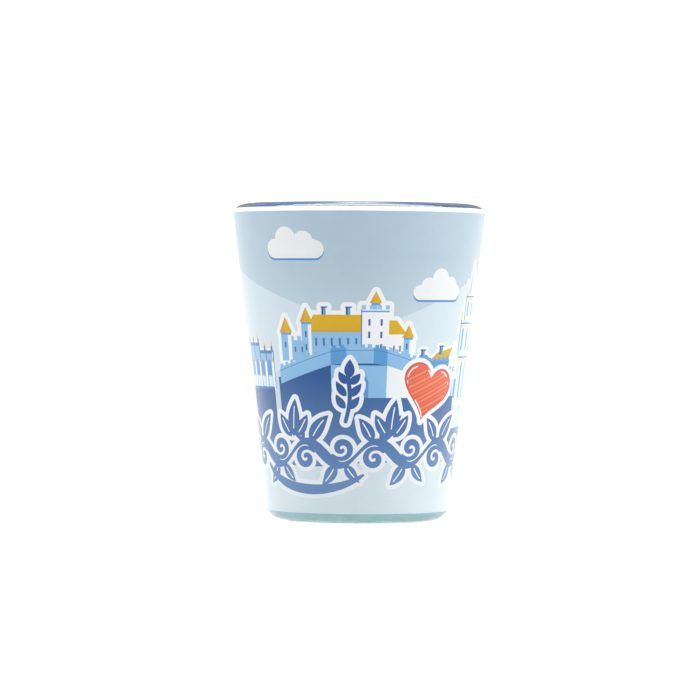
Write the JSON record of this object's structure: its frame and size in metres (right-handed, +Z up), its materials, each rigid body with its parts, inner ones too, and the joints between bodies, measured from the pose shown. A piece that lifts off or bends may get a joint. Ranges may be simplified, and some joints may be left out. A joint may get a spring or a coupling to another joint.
{
  "type": "shot glass",
  "caption": "Tapered clear shot glass with a heavy base, a rounded clear lip and a glossy printed coat wrapped around its wall.",
  "frame": {"origin": "centre of the foot ring, on the surface the glass stands on", "axes": "+Z up along the glass's axis of rotation, -Y towards the middle of the print, +X to the right of it"},
  "size_m": [0.048, 0.048, 0.0602],
  "materials": {
    "clear_glass": "clear, fire polished",
    "printed_coat": "glossy opaque print, pale blue-grey sky with a blue, white and mustard town scene"
  },
  "bodies": {
    "root": {"glass_body": "clear_glass", "printed_coat": "printed_coat"}
  },
  "joints": []
}
